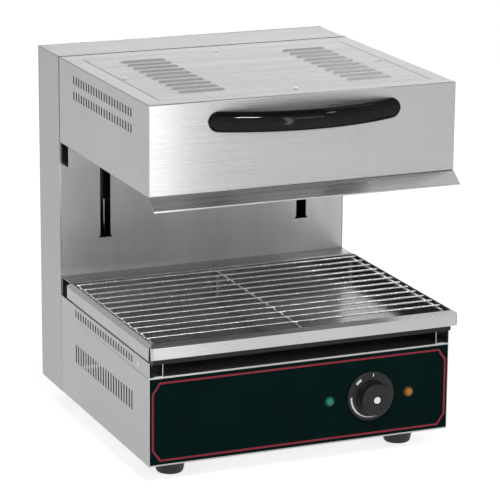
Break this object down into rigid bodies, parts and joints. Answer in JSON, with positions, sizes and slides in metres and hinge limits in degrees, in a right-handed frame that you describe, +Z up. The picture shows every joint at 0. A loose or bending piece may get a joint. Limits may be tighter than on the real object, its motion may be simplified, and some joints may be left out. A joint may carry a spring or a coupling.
{
  "type": "lift-type cheese melter",
  "caption": "Counter-top grill whose heated head slides up and down a rear column above a drip pan with a wire rack, with a heat control on the base.",
  "frame": {"origin": "centre of the part's box on the floor plane, under the middle of the base", "axes": "+X to the right of a user facing the front, +Y to the back, +Z up; the control panel faces -Y"},
  "size_m": [0.463, 0.51, 0.5302],
  "materials": {
    "stainless": "brushed stainless sheet",
    "bright_fastener": "bright plated",
    "rubber": "matte black",
    "panel_film": "gloss printed film, near black with a green cast",
    "zinc_steel": "dull zinc plate",
    "chromed_rod": "bright",
    "strut_paint": "satin black paint",
    "black_plastic": "gloss black phenolic",
    "nylon": "natural",
    "wire_cover": "heat-resistant sleeve",
    "green_lens": "translucent",
    "amber_lens": "translucent",
    "insulation": "fibre blanket",
    "element_sheath": "dark heat-tinted sheath"
  },
  "bodies": {
    "base": {"base_shell": "stainless", "control_fascia": "stainless", "control_overlay": "panel_film", "deck_plate": "stainless", "side_rail_left": "stainless", "side_rail_right": "stainless", "pan_runner_left": "stainless", "pan_runner_right": "stainless", "rear_ledge": "stainless", "rail_rivets": "bright_fastener", "foot_front_left": "rubber", "foot_front_right": "rubber", "foot_rear_left": "rubber", "foot_rear_right": "rubber", "foot_screws": "bright_fastener", "column_shell": "stainless", "column_liner": "stainless", "column_back_cover": "stainless", "back_cover_screws": "bright_fastener", "rod_foot_bracket": "zinc_steel", "rod_head_bracket": "zinc_steel", "guide_rod_left": "chromed_rod", "guide_rod_right": "chromed_rod", "strut_rod_left": "chromed_rod", "strut_rod_right": "chromed_rod", "rubber_buffers": "rubber", "cable_gland": "black_plastic", "terminal_block": "nylon", "energy_regulator": "zinc_steel", "regulator_wires": "wire_cover", "column_lead": "wire_cover", "heater_lead": "wire_cover", "power_lamp": "green_lens", "heating_lamp": "amber_lens", "lamp_clips": "black_plastic"},
    "head": {"head_casing": "stainless", "head_top_cover": "stainless", "cover_screws": "bright_fastener", "head_back_plate": "stainless", "deflector": "stainless", "handle": "black_plastic", "handle_screws": "bright_fastener", "reflector": "stainless", "insulation_blanket": "insulation", "heating_element_left": "element_sheath", "heating_element_right": "element_sheath", "element_hangers": "zinc_steel", "carriage_plate": "zinc_steel", "lift_arm_left": "zinc_steel", "lift_arm_right": "zinc_steel", "arm_bolts": "bright_fastener", "guide_bushes": "nylon", "strut_cylinder_left": "strut_paint", "strut_cylinder_right": "strut_paint"},
    "knob": {"knob": "black_plastic", "knob_cap": "chromed_rod", "regulator_spindle": "chromed_rod"},
    "pan": {"grill_pan": "stainless"},
    "rack": {"rack_bars": "chromed_rod", "rack_wires": "chromed_rod"}
  },
  "joints": [
    {"name": "head_lift", "type": "slide", "parent": "base", "child": "head", "axis": [0, 0, -1], "range_m": [0, 0.13], "deforming": ["heater_lead"]},
    {"name": "knob_turn", "type": "hinge", "parent": "base", "child": "knob", "pos_m": [0.1036, -0.215, 0.092], "axis": [0, 1, 0], "range_deg": [0, 280]},
    {"name": "pan_slide", "type": "slide", "parent": "base", "child": "pan", "axis": [0, -1, 0], "range_m": [0, 0.3]},
    {"name": "rack_lift", "type": "slide", "parent": "pan", "child": "rack", "axis": [0, 0, 1], "range_m": [0, 0.05]}
  ]
}
